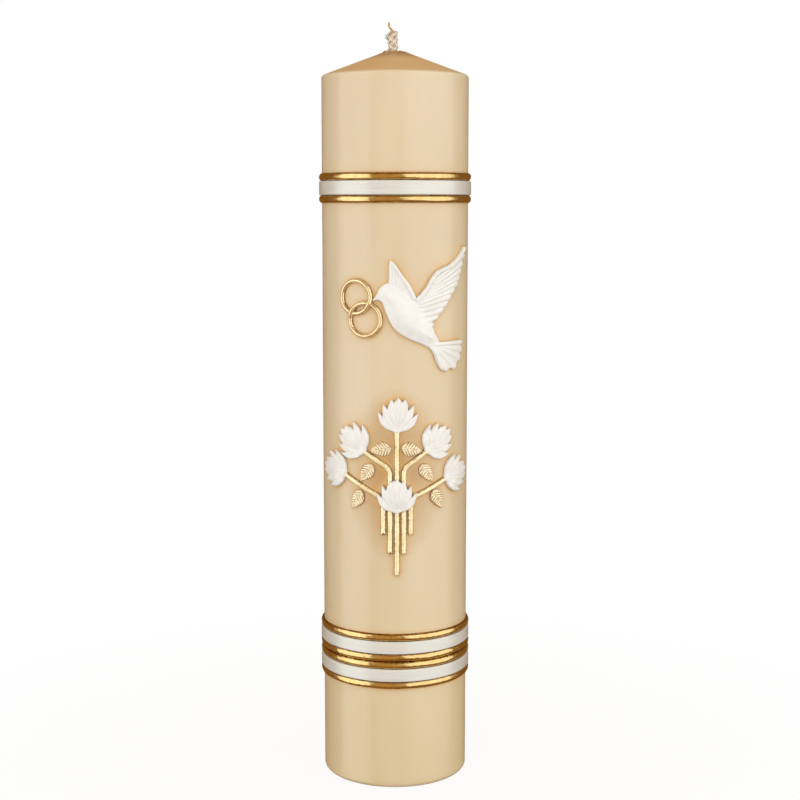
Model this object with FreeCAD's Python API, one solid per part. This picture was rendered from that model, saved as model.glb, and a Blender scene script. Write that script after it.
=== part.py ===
import FreeCAD, Part
import math
import os

# Unity candle: a wax pillar with a wick, two rings of bead-and-band trim, and
# wax ornaments pressed onto its front.
#
# Frame: millimetres, +Z up, origin at the middle of the foot. The front of the
# candle faces -Y and +X is on its right. A place on the wax is given as
# (around, height), where around is the arc length along the surface from the
# front centre line, positive to the right.

# ---------------------------------------------------------------- sizes, mm
# Wax pillar
wax_diameter = 76.2
wax_height = 381.0
cone_rise = 12.6
crown_diameter = 10.0
shoulder_round = 1.6
foot_round = 2.5

# Wick
wick_diameter = 5.4
wick_side_offset = -1.1
wick_foot_cover = 3.0
wick_body_length = 9.6
wick_shoulder_length = 1.4
wick_strand_diameter = 1.5
wick_strand_rise = 3.6
wick_strand_lean = 2.2

# Bead-and-band trim that goes all the way round
bead_height = 4.0
bead_stand_off = 1.5
band_stand_off = 1.5
band_edge_round = 0.7
upper_band_height = 7.3
lower_band_height = 6.7
foot_to_lower_trim = 53.6
shoulder_to_upper_trim = 49.6

# Stems of the lily spray: flat strips side by side at the foot of the spray
stem_width = 2.7
stem_gap = 0.75
stem_stand_off = 1.8
stem_bend_radius = 6.0
spray_centre_around = 0.95
lower_trim_to_stems = 30.9
outer_stem_lift = 21.2
inner_stem_lift = 11.3
stem_cover = 1.2

# Lily flowers, all from one mould
flower_length = 17.5
flower_stand_off = 2.6
cover_flower_stand_off = 3.6
petal_side_bulge = 1.9
petal_outer_bulge = 2.6

# Leaves, all from one mould
leaf_length = 10.8
leaf_width = 8.0
leaf_stand_off = 1.3

# Linked wedding rings
ring_outer_diameter = 19.0
ring_wire_width = 2.4
ring_stand_off = 1.7
ring_step_around = 5.2
ring_step_height = 11.3
beak_overlap = 0.4
beak_lift = 1.7

# Dove
wing_tip_around = 43.3
dove_stand_off = 2.2
dove_body_stand_off = 3.2
upper_trim_to_dove = 22.2

# ------------------------------------------------- places that follow from them
wax_radius = wax_diameter / 2
shoulder_height = wax_height - cone_rise
upper_trim_height = 2 * bead_height + upper_band_height
lower_trim_height = 4 * bead_height + 2 * lower_band_height
upper_trim_base = shoulder_height - shoulder_to_upper_trim - upper_trim_height
lower_trim_top = foot_to_lower_trim + lower_trim_height
stem_foot = lower_trim_top + lower_trim_to_stems
stem_pitch = stem_width + stem_gap
wing_tip_height = upper_trim_base - upper_trim_to_dove

# ------------------------------------------------------------ ornament layout
# Lily flowers: joint of the petals, as (around, height) from the foot of the
# spray on its centre line, and the lean from upright in degrees, positive to
# the left.
flower_places = {
    "flower_top": ((-0.1, 74.2), -2.0),
    "flower_upper_left": ((-16.6, 63.5), 50.0),
    "flower_upper_right": ((15.0, 63.6), -52.0),
    "flower_far_left": ((-27.6, 51.3), 76.0),
    "flower_far_right": ((26.3, 48.9), -76.0),
}
cover_flower_place = ((-0.1, 32.9), 0.0)

# Stems: column in the bundle, height of the cut end above the longest stem's,
# the flower that the stem ends under, and the climb of its upper run.
stem_places = {
    "stem_outer_left": (-2, outer_stem_lift, "flower_far_left", 0.53),
    "stem_inner_left": (-1, inner_stem_lift, "flower_upper_left", 0.63),
    "stem_centre": (0, 0.0, "flower_top", None),
    "stem_inner_right": (1, inner_stem_lift, "flower_upper_right", 0.69),
    "stem_outer_right": (2, outer_stem_lift, "flower_far_right", 0.45),
}

# Each petal: angle from the flower's own axis, and its share of flower_length.
petals = [(-42.0, 0.78), (42.0, 0.78), (-25.5, 0.91), (25.5, 0.91), (-12.0, 0.97), (12.0, 0.97), (0.0, 1.0)]

# Leaves: base, as for the flowers, and lean of the tip.
leaf_places = {
    "leaf_top_left": ((-3.0, 66.2), 99.0),
    "leaf_top_right": ((2.2, 66.2), -100.0),
    "leaf_middle_left": ((-12.4, 57.4), 144.0),
    "leaf_middle_right": ((12.6, 57.4), -147.0),
    "leaf_lower_left": ((-18.2, 43.4), 149.0),
    "leaf_lower_right": ((19.2, 43.8), -152.0),
}

# One side of a leaf from base to tip, as shares of its width and length.
leaf_side = [(0.0, 0.0), (0.36, 0.10), (0.5, 0.38), (0.31, 0.74), (0.0, 1.0)]

# Dove: stretches of its outline from corner to corner, as (around, height)
# from the tip of its near wing.
dove_outline = [
    [(-54.9, -26.6), (-52.6, -23.6), (-51.0, -20.4), (-48.9, -18.5), (-46.0, -17.3)],
    [(-46.0, -17.3), (-46.4, -13.5), (-46.3, -9.0), (-45.3, -6.3), (-43.6, -8.4)],
    [(-43.6, -8.4), (-39.5, -14.6), (-36.0, -19.0), (-32.9, -25.4)],
    [(-32.9, -25.4), (-30.2, -23.4), (-26.6, -18.6), (-21.5, -11.9), (-13.4, -8.6), (-6.6, -4.6), (-1, 0)],
    [(-1, 0), (0.2, -2.0), (-2.8, -7.6), (-5.6, -17.3), (-12.6, -26.6), (-15.8, -30.8), (-24.0, -38.5)],
    [(-24.0, -38.5), (-22.6, -43.0), (-19.3, -47.3)],
    [(-19.3, -47.3), (-10.5, -47.1), (-3.6, -48.0), (-3.7, -53.2), (-5.6, -58.4)],
    [(-5.6, -58.4), (-9.6, -61.9), (-14.3, -62.5)],
    [(-14.3, -62.5), (-17.8, -62.6), (-20.9, -59.2), (-24.3, -52.0), (-29.0, -48.9)],
    [(-29.0, -48.9), (-37.3, -45.3), (-44.0, -40.4), (-47.6, -33.0), (-49.6, -27.5)],
    [(-49.6, -27.5), (-51.6, -26.3), (-54.9, -26.6)],
]

# Raised body of the dove, round from the face over the back to the rump and
# along the belly, in the same coordinates.
dove_body = [
    (-51.3, -22.7), (-46.8, -20.8), (-39.3, -26.3), (-31.3, -33.8), (-24.8, -42.3),
    (-23.8, -46.8), (-30.3, -46.5), (-38.8, -42.8), (-44.8, -37.3), (-48.3, -28.8),
]


# ------------------------------------------------------------------- helpers
def around_to_angle(around):
    return around / wax_radius


def wrap(around, height, centre):
    """Flat point whose projection onto the wax lies at (around, height)."""
    return FreeCAD.Vector(wax_radius * math.sin(around_to_angle(around - centre)), height, 0)


def tangent_placement(centre):
    """Plane through the candle's axis, facing out at the given place around."""
    angle = around_to_angle(centre)
    sideways = FreeCAD.Vector(math.cos(angle), math.sin(angle), 0)
    outward = FreeCAD.Vector(math.sin(angle), -math.cos(angle), 0)
    turn = FreeCAD.Rotation(sideways, FreeCAD.Vector(0, 0, 1), outward, "XYZ")
    return FreeCAD.Placement(FreeCAD.Vector(0, 0, 0), turn), outward


def raise_from_wax(outline, centre, stand_off):
    """Solid inside a flat outline, from the wax surface out to stand_off."""
    placement, outward = tangent_placement(centre)
    face = Part.Face(outline)
    face.Placement = placement
    prism = face.extrude(outward * (2 * wax_radius))
    outer = Part.makeCylinder(wax_radius + stand_off, wax_height)
    inner = Part.makeCylinder(wax_radius, wax_height)
    return prism.common(outer).cut(inner)


def arc(start, middle, end):
    return Part.Arc(start, middle, end).toShape()


def line(start, end):
    return Part.LineSegment(start, end).toShape()


def curve(points):
    spline = Part.BSplineCurve()
    spline.interpolate(points)
    return spline.toShape()


def place_in_spray(offset):
    return spray_centre_around + offset[0], stem_foot + offset[1]


def lean_point(base, lean, side, along):
    """Point given in a leaning piece's own axes: side to the right, along its length."""
    angle = math.radians(lean)
    around = base[0] + side * math.cos(angle) - along * math.sin(angle)
    height = base[1] + side * math.sin(angle) + along * math.cos(angle)
    return around, height


def main_solid(shape):
    """The largest solid of a boolean result, with its seam lines removed."""
    return max(shape.removeSplitter().Solids, key=lambda solid: solid.Volume)


def press_on(shape, placed):
    """Ornament shaped round everything that is already on the wax."""
    return main_solid(shape.cut(Part.makeCompound(placed)))


# ------------------------------------------------------------ pillar and wick
def wick_bore():
    """Bore for the wick, open at the crown and closed by a skin of wax at the foot."""
    bore = Part.makeCylinder(wick_diameter / 2, wax_height)
    bore.translate(FreeCAD.Vector(wick_side_offset, 0, wick_foot_cover))
    return bore


def make_wax_body():
    corner = math.atan2(cone_rise, wax_radius - crown_diameter / 2)
    setback = shoulder_round * math.tan((math.pi / 2 - corner) / 2)
    half_turn = (math.pi / 2 - corner) / 2
    arc_centre = FreeCAD.Vector(wax_radius - shoulder_round, 0, shoulder_height - setback)
    foot_centre = FreeCAD.Vector(wax_radius - foot_round, 0, foot_round)
    diagonal = math.sqrt(0.5) * foot_round

    axis_foot = FreeCAD.Vector(0, 0, 0)
    foot_edge = FreeCAD.Vector(wax_radius - foot_round, 0, 0)
    foot_middle = foot_centre + FreeCAD.Vector(diagonal, 0, -diagonal)
    wall_foot = FreeCAD.Vector(wax_radius, 0, foot_round)
    wall_top = FreeCAD.Vector(wax_radius, 0, shoulder_height - setback)
    round_middle = arc_centre + FreeCAD.Vector(math.cos(half_turn), 0, math.sin(half_turn)) * shoulder_round
    cone_foot = arc_centre + FreeCAD.Vector(math.sin(corner), 0, math.cos(corner)) * shoulder_round
    crown_edge = FreeCAD.Vector(crown_diameter / 2, 0, wax_height)
    axis_top = FreeCAD.Vector(0, 0, wax_height)

    profile = Part.Wire([
        line(axis_foot, foot_edge),
        arc(foot_edge, foot_middle, wall_foot),
        line(wall_foot, wall_top),
        arc(wall_top, round_middle, cone_foot),
        line(cone_foot, crown_edge),
        line(crown_edge, axis_top),
        line(axis_top, axis_foot),
    ])
    pillar = Part.Face(profile).revolve(FreeCAD.Vector(0, 0, 0), FreeCAD.Vector(0, 0, 1), 360)
    return pillar.cut(wick_bore()).Solids[0]


def make_wick():
    """Wick from the closed end of its bore to above the crown, ending in one loose strand."""
    radius = wick_diameter / 2
    strand_radius = wick_strand_diameter / 2
    body_top = wax_height + wick_body_length
    shoulder_top = body_top + wick_shoulder_length

    body = Part.makeCylinder(radius, body_top - wick_foot_cover)
    body.translate(FreeCAD.Vector(0, 0, wick_foot_cover))
    shoulder = Part.makeCone(radius, strand_radius, wick_shoulder_length)
    shoulder.translate(FreeCAD.Vector(0, 0, body_top))

    strand_start = FreeCAD.Vector(0, 0, body_top)
    strand_middle = FreeCAD.Vector(-0.35 * wick_strand_lean, 0, shoulder_top + 0.3 * wick_strand_rise)
    strand_end = FreeCAD.Vector(-wick_strand_lean, 0, shoulder_top + wick_strand_rise)
    path = Part.Wire([arc(strand_start, strand_middle, strand_end)])
    start_direction = path.Edges[0].tangentAt(path.Edges[0].FirstParameter)
    section = Part.Wire([Part.makeCircle(strand_radius, strand_start, start_direction)])
    strand = path.makePipeShell([section], True, False)

    wick = body.fuse(shoulder).fuse(strand)
    wick.translate(FreeCAD.Vector(wick_side_offset, 0, 0))
    return main_solid(wick)


# ----------------------------------------------------------------------- trim
def make_bead(base):
    """Half-round bead with its flat back on the wax."""
    foot = FreeCAD.Vector(wax_radius, 0, base)
    crest = FreeCAD.Vector(wax_radius + bead_stand_off, 0, base + bead_height / 2)
    top = FreeCAD.Vector(wax_radius, 0, base + bead_height)
    profile = Part.Face(Part.Wire([arc(foot, crest, top), line(top, foot)]))
    return profile.revolve(FreeCAD.Vector(0, 0, 0), FreeCAD.Vector(0, 0, 1), 360).Solids[0]


def make_band(base, height):
    """Flat band with rounded outer edges."""
    outer = Part.makeCylinder(wax_radius + band_stand_off, height)
    rims = [edge for edge in outer.Edges if isinstance(edge.Curve, Part.Circle)]
    outer = outer.makeFillet(band_edge_round, rims)
    band = outer.cut(Part.makeCylinder(wax_radius, height))
    band.translate(FreeCAD.Vector(0, 0, base))
    return band.Solids[0]


def make_trim():
    """Trim from its lowest piece up, each piece standing on the one below."""
    stacks = [
        (foot_to_lower_trim, [
            ("lower_bead_bottom", bead_height),
            ("lower_band_bottom", lower_band_height),
            ("lower_bead_mid_bottom", bead_height),
            ("lower_bead_mid_top", bead_height),
            ("lower_band_top", lower_band_height),
            ("lower_bead_top", bead_height),
        ]),
        (upper_trim_base, [
            ("upper_bead_bottom", bead_height),
            ("upper_band", upper_band_height),
            ("upper_bead_top", bead_height),
        ]),
    ]
    trim = {}
    for base, pieces in stacks:
        for name, height in pieces:
            trim[name] = make_band(base, height) if "band" in name else make_bead(base)
            base += height
    return trim


# ---------------------------------------------------------------------- stems
def side_edges(points):
    """A straight side, or two straights with an arc between them."""
    if len(points) == 2:
        return [line(points[0], points[1])]
    return [line(points[0], points[1]), arc(points[1], points[2], points[3]), line(points[3], points[4])]


def strip_outline(path, centre):
    """Square-ended strip of stem_width along a path of two or three points."""
    half = stem_width / 2
    flat = [FreeCAD.Vector(around, height, 0) for around, height in path]
    directions = [(b - a).normalize() for a, b in zip(flat, flat[1:])]
    sides = []
    for side in (half, -half):
        normals = [FreeCAD.Vector(-d.y, d.x, 0) * side for d in directions]
        if len(flat) == 2:
            sides.append([flat[0] + normals[0], flat[1] + normals[0]])
            continue
        turn = directions[0].getAngle(directions[1])
        setback = stem_bend_radius * math.tan(turn / 2)
        first = flat[1] - directions[0] * setback
        last = flat[1] + directions[1] * setback
        inward = (last - flat[1] + first - flat[1]).normalize()
        bend_centre = flat[1] + inward * (stem_bend_radius / math.cos(turn / 2))
        radius = (first + normals[0] - bend_centre).Length
        sides.append([
            flat[0] + normals[0],
            first + normals[0],
            bend_centre - inward * radius,
            last + normals[1],
            flat[2] + normals[1],
        ])
    left, right = [[wrap(p.x, p.y, centre) for p in points] for points in sides]
    return Part.Wire([
        *side_edges(left),
        line(left[-1], right[-1]),
        *side_edges(right[::-1]),
        line(right[0], left[0]),
    ])


def stem_path(column, lift, flower, climb):
    """Path of the stem in one column of the bundle, up to its flower."""
    around = spray_centre_around + column * stem_pitch
    foot = (around, stem_foot + lift)
    place, lean = flower_places[flower]
    end = lean_point(place_in_spray(place), lean, 0, stem_cover)
    if climb is None:
        return [foot, (around, end[1])]
    bend = (around, end[1] - abs(end[0] - around) * climb)
    return [foot, bend, end]


def make_stems():
    stems = {}
    for name, place in stem_places.items():
        path = stem_path(*place)
        centre = (path[0][0] + path[-1][0]) / 2
        stems[name] = main_solid(raise_from_wax(strip_outline(path, centre), centre, stem_stand_off))
    return stems


# ----------------------------------------------------------- flowers and leaves
def petal_outline(base, lean, length, left_bulge, right_bulge, centre):
    """Pointed petal between two arcs that meet at its base and its tip."""
    foot = wrap(*base, centre)
    tip = wrap(*lean_point(base, lean, 0, length), centre)
    left = wrap(*lean_point(base, lean, -left_bulge, 0.45 * length), centre)
    right = wrap(*lean_point(base, lean, right_bulge, 0.45 * length), centre)
    return Part.Wire([arc(foot, left, tip), arc(tip, right, foot)])


def make_flower(place, stand_off, placed):
    """Fan of petals, pressed down over the stem ends that it meets."""
    base = place_in_spray(place[0])
    centre = lean_point(base, place[1], 0, flower_length / 2)[0]
    outermost = max(angle for angle, share in petals)
    fan = None
    for angle, share in petals:
        left = petal_outer_bulge if angle == outermost else petal_side_bulge
        right = petal_outer_bulge if angle == -outermost else petal_side_bulge
        outline = petal_outline(base, place[1] + angle, share * flower_length, left, right, centre)
        petal = raise_from_wax(outline, centre, stand_off)
        fan = petal if fan is None else fan.fuse(petal)
    return press_on(fan, placed)


def make_leaf(place, placed):
    """Leaf with a rounded base and a pointed tip."""
    base = place_in_spray(place[0])
    centre = lean_point(base, place[1], 0, leaf_length / 2)[0]
    sides = []
    for side in (1, -1):
        shape = [(side * across * leaf_width, along * leaf_length) for across, along in leaf_side]
        sides.append(curve([wrap(*lean_point(base, place[1], *point), centre) for point in shape]))
    leaf = raise_from_wax(Part.Wire(sides), centre, leaf_stand_off)
    return press_on(leaf, placed)


# ------------------------------------------------------------- rings and dove
def dove_place(offset):
    return wing_tip_around + offset[0], wing_tip_height + offset[1]


def ring_outline(around, height, radius, centre):
    left = wrap(around - radius, height, centre)
    top = wrap(around, height + radius, centre)
    right = wrap(around + radius, height, centre)
    bottom = wrap(around, height - radius, centre)
    return Part.Wire([arc(left, top, right), arc(right, bottom, left)])


def make_wedding_rings(placed):
    """Two rings moulded as one linked pair; the upper one meets the dove's beak."""
    radius = ring_outer_diameter / 2
    beak = dove_place(dove_outline[0][0])
    upper = (beak[0] + beak_overlap - radius, beak[1] + beak_lift)
    lower = (upper[0] + ring_step_around, upper[1] - ring_step_height)
    centre = (upper[0] + lower[0]) / 2
    rings = []
    for around, height in (upper, lower):
        disc = raise_from_wax(ring_outline(around, height, radius, centre), centre, ring_stand_off)
        inside = ring_outline(around, height, radius - ring_wire_width, centre)
        hole = raise_from_wax(inside, centre, 2 * ring_stand_off)
        rings.append(disc.cut(hole))
    return press_on(rings[0].fuse(rings[1]), placed)


def make_dove(placed):
    """Flying dove in low relief with a thicker body; its beak meets the rings."""
    centre = wing_tip_around + dove_outline[0][0][0] / 2
    stretches = []
    for stretch in dove_outline:
        stretches.append(curve([wrap(*dove_place(offset), centre) for offset in stretch]))
    silhouette = raise_from_wax(Part.Wire(stretches), centre, dove_stand_off)

    ring = Part.BSplineCurve()
    ring.interpolate([wrap(*dove_place(offset), centre) for offset in dove_body], PeriodicFlag=True)
    body = raise_from_wax(Part.Wire([ring.toShape()]), centre, dove_body_stand_off)
    return press_on(silhouette.fuse(body), placed)


# --------------------------------------------------------------------- build
def build():
    """Every node by name; each ornament is pressed on after those before it."""
    nodes = {"wax_body": make_wax_body(), "wick": make_wick()}
    nodes.update(make_trim())
    ornaments = make_stems()
    for name, place in flower_places.items():
        ornaments[name] = make_flower(place, flower_stand_off, list(ornaments.values()))
    cover = make_flower(cover_flower_place, cover_flower_stand_off, list(ornaments.values()))
    ornaments["flower_bottom"] = cover
    for name, place in leaf_places.items():
        ornaments[name] = make_leaf(place, list(ornaments.values()))
    ornaments["wedding_rings"] = make_wedding_rings(list(ornaments.values()))
    ornaments["dove"] = make_dove(list(ornaments.values()))
    nodes.update(ornaments)
    return nodes


os.makedirs("parts", exist_ok=True)
for node, shape in build().items():
    shape.exportStep(os.path.join("parts", node + ".step"))
    box = shape.BoundBox
    print(f"{node:22s} valid {shape.isValid()}  z {box.ZMin:7.2f} to {box.ZMax:7.2f}  {shape.Volume:.0f} mm3")
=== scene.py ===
import math

import bpy
import numpy as np
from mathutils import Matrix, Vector
from mathutils.geometry import delaunay_2d_cdt


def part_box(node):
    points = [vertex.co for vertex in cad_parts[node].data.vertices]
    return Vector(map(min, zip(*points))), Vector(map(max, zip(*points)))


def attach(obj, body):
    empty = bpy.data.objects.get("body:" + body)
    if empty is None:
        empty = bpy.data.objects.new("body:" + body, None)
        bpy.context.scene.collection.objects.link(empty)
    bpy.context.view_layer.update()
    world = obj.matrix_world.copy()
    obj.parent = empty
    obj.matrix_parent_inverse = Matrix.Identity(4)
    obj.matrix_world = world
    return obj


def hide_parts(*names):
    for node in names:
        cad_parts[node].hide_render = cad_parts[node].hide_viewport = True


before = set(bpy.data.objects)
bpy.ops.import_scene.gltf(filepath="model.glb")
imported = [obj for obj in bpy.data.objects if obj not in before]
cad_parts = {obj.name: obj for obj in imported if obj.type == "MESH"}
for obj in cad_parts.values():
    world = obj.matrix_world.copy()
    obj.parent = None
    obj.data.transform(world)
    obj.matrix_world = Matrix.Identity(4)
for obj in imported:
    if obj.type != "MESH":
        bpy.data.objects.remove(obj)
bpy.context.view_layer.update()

# Unity candle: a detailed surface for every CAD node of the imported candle.
#
# Everything is worked out in millimetres and turned into metres when a mesh is
# made. A place on the wax is (around, height): arc length along the wax from
# the front centre line, positive to the right, and height above the foot. The
# front faces -Y.

MM = 0.001
SUNK = 0.35  # how far an ornament's hidden back sits inside the wax


# -------- places from the frame
def size_box(node):
    low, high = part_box(node)
    return np.array(low) / MM, np.array(high) / MM


def unrolled_span(node):
    """Lowest and highest (around, height) of a CAD node."""
    corners = np.array([v.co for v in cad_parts[node].data.vertices]) / MM
    around = np.arctan2(corners[:, 0], -corners[:, 1]) * wax_radius
    return (around.min(), corners[:, 2].min()), (around.max(), corners[:, 2].max())


wax_high = size_box("wax_body")[1]
wax_radius = wax_high[0]
wax_height = wax_high[2]

WICK_WIDTH = 5.4
wick_high = size_box("wick")[1]
wick_centre = wick_high[0] - WICK_WIDTH / 2

stem_low, stem_high = unrolled_span("stem_centre")
stem_width = stem_high[0] - stem_low[0]
spray_foot = np.array([(stem_low[0] + stem_high[0]) / 2, stem_low[1]])

WING_TIP_AROUND = 43.3
wing_tip = np.array([WING_TIP_AROUND, unrolled_span("dove")[1][1]])


# -------- numbers
def waves(seed, count, longest, shortest):
    """Smooth repeatable ripple, about -1 to 1, as a function of a length in mm."""
    rng = np.random.default_rng(seed)
    lengths = longest * (shortest / longest) ** (np.arange(count) / max(count - 1, 1))
    phases = rng.uniform(0, 2 * math.pi, count)
    weights = rng.uniform(0.6, 1.0, count) * (lengths / longest) ** 0.5
    weights /= weights.sum()

    def ripple(x):
        x = np.asarray(x, float)[..., None]
        return (weights * np.sin(2 * math.pi * x / lengths + phases)).sum(-1)

    return ripple


def ring_waves(seed, slowest, fastest, count):
    """Ripple round a closed ring, as a function of the angle in radians."""
    rng = np.random.default_rng(seed)
    orders = rng.integers(slowest, fastest + 1, count)
    phases = rng.uniform(0, 2 * math.pi, count)
    weights = rng.uniform(0.5, 1.0, count)
    weights /= weights.sum()

    def ripple(angle):
        angle = np.asarray(angle, float)[..., None]
        return (weights * np.sin(orders * angle + phases)).sum(-1)

    return ripple


def smooth(x):
    x = np.clip(x, 0.0, 1.0)
    return x * x * (3 - 2 * x)


def soft_max(a, b, width):
    """The larger of two heights, rounded over where they meet."""
    blend = np.maximum(width - np.abs(a - b), 0.0) / width
    return np.maximum(a, b) + blend * blend * width / 4


def quarter_round(depth, width):
    """0 at an edge, 1 from width inside it, along a quarter of a circle."""
    inside = 1 - np.clip(depth / width, 0.0, 1.0)
    return np.sqrt(1 - inside * inside)


def curve_through(points, per_span=8):
    """Points on a smooth line through the given ones."""
    p = np.asarray(points, float)
    if len(p) == 2:
        share = np.linspace(0, 1, per_span + 1)[:, None]
        return p[0] + (p[1] - p[0]) * share
    ends = [2 * p[0] - p[1], *p, 2 * p[-1] - p[-2]]
    made = []
    for a, b, c, d in zip(ends, ends[1:], ends[2:], ends[3:]):
        t = np.linspace(0, 1, per_span, endpoint=False)[:, None]
        bend = (2 * a - 5 * b + 4 * c - d) * t**2 + (3 * b - a - 3 * c + d) * t**3
        made.append(0.5 * (2 * b + (c - a) * t + bend))
    return np.vstack([*made, p[-1:]])


def nearest_on_line(u, z, line):
    """Distance to a line of points, and share of its length at the nearest point."""
    best = np.full(u.shape, 1e9)
    share = np.zeros(u.shape)
    steps = np.linalg.norm(np.diff(line, axis=0), axis=1)
    runs = np.concatenate([[0], np.cumsum(steps)])
    for a, b, start, step in zip(line, line[1:], runs, steps):
        d = (b - a) / step
        along = np.clip((u - a[0]) * d[0] + (z - a[1]) * d[1], 0, step)
        distance = np.hypot(u - a[0] - along * d[0], z - a[1] - along * d[1])
        nearer = distance < best
        best = np.where(nearer, distance, best)
        share = np.where(nearer, (start + along) / runs[-1], share)
    return best, share


def inside_distance(u, z, outline):
    """Distance to a closed outline, positive inside it."""
    closed = np.vstack([outline, outline[:1]])
    keep = np.linalg.norm(np.diff(closed, axis=0), axis=1) > 1e-6
    closed = np.vstack([closed[:-1][keep], closed[:1]])
    distance = nearest_on_line(u, z, closed)[0]
    inside = np.zeros(u.shape, bool)
    for a, b in zip(closed, closed[1:]):
        if a[1] == b[1]:
            continue
        spans = (a[1] > z) != (b[1] > z)
        crossing = a[0] + (z - a[1]) / (b[1] - a[1]) * (b[0] - a[0])
        inside ^= spans & (u < crossing)
    return np.where(inside, distance, -distance)


# -------- meshes
def on_wax(around, height, out):
    """Points in metres at a stand-off from the wax."""
    angle = np.asarray(around) / wax_radius
    radius = wax_radius + np.asarray(out)
    height = np.broadcast_to(height, angle.shape)
    return np.stack([radius * np.sin(angle), -radius * np.cos(angle), height], -1) * MM


def make_piece(name, points, faces, material, slot, *nodes):
    """Smooth closed mesh that rides on the candle and stands for CAD nodes."""
    mesh = bpy.data.meshes.new(name)
    mesh.from_pydata(points.tolist(), [], [[int(i) for i in face] for face in faces])
    mesh.update()
    mesh.shade_smooth()
    mesh.materials.append(material)
    piece = bpy.data.objects.new(name, mesh)
    bpy.context.scene.collection.objects.link(piece)
    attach(piece, "root")
    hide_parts(*nodes)


def grid_faces(rows, columns, close_rows=False, close_columns=False, start=0):
    """Quads of a grid of points in row order, closed on itself either way."""
    row = np.arange(rows if close_rows else rows - 1)
    column = np.arange(columns if close_columns else columns - 1)
    r, c = np.meshgrid(row * columns, column, indexing="ij")
    next_r = (r + columns) % (rows * columns)
    next_c = (c + 1) % columns
    quads = np.stack([r + c, r + next_c, next_r + next_c, next_r + c], -1)
    return (quads.reshape(-1, 4) + start).tolist()


def capped_faces(rows, columns, start=0):
    """Faces of a closed tube of points in row order, followed by a middle point for each end."""
    faces = grid_faces(rows, columns, close_columns=True, start=start)
    middle = start + rows * columns
    last_row = middle - columns
    for k in range(columns):
        following = (k + 1) % columns
        faces.append((start + following, start + k, middle))
        faces.append((last_row + k, last_row + following, middle + 1))
    return faces


def tube(path, radii, sides=8, start=0):
    """Closed round tube along a path in mm, as points in metres and faces."""
    path = np.asarray(path, float)
    radii = np.broadcast_to(radii, len(path))
    tangents = np.gradient(path, axis=0)
    tangents /= np.linalg.norm(tangents, axis=1)[:, None]
    across = np.cross(tangents[0], [0.3, 0.9, 0.2])
    rings = []
    for point, tangent, radius in zip(path, tangents, radii):
        across = across - tangent * (across @ tangent)
        across /= np.linalg.norm(across)
        upward = np.cross(tangent, across)
        turn = np.linspace(0, 2 * math.pi, sides, endpoint=False)[:, None]
        rings.append(point + radius * (np.cos(turn) * across + np.sin(turn) * upward))
    points = np.vstack([*rings, path[:1], path[-1:]]) * MM
    return points, capped_faces(len(path), sides, start)


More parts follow.
